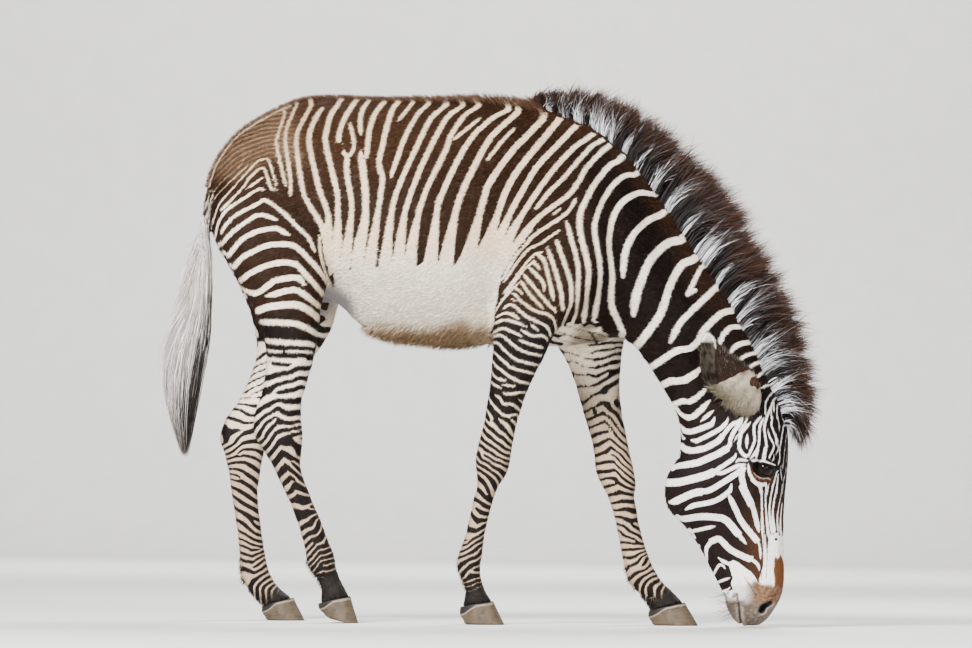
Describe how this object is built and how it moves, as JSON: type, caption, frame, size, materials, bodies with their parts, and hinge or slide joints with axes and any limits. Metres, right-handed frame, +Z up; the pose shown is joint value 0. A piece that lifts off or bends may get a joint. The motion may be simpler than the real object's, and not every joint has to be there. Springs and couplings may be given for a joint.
{
  "type": "zebra, young grevy's, life-size animal model",
  "caption": "Life-size still model of a young Grevy's zebra standing with its head lowered to the ground, grazing.",
  "frame": {"origin": "on the floor under the middle of the whole animal's box", "axes": "+X towards the animal's front, +Y to its left, +Z up; the floor is at Z = 0"},
  "size_m": [1.533, 0.4053, 1.272],
  "materials": {
    "coat": "short flat coat, brown-black and cream stripes, matte",
    "ear": "short soft coat, grey hair inside",
    "mane_hair": "long upright hair, banded, rust-brown tips",
    "tail_hair": "long straight hair, pale with a dark tip",
    "hoof": "dry horn, grey-tan, faint growth rings",
    "eye": "wet, glossy, very dark brown"
  },
  "bodies": {
    "root": {"head": "coat", "ear_left": "ear", "ear_right": "ear", "eye_left": "eye", "eye_right": "eye", "neck": "coat", "mane": "mane_hair", "trunk": "coat", "tail_dock": "coat", "tail_tuft": "tail_hair", "forearm_left": "coat", "forearm_right": "coat", "shank_fore_left": "coat", "shank_fore_right": "coat", "hoof_fore_left": "hoof", "hoof_fore_right": "hoof", "thigh_left": "coat", "thigh_right": "coat", "shank_hind_left": "coat", "shank_hind_right": "coat", "hoof_hind_left": "hoof", "hoof_hind_right": "hoof"}
  },
  "joints": []
}
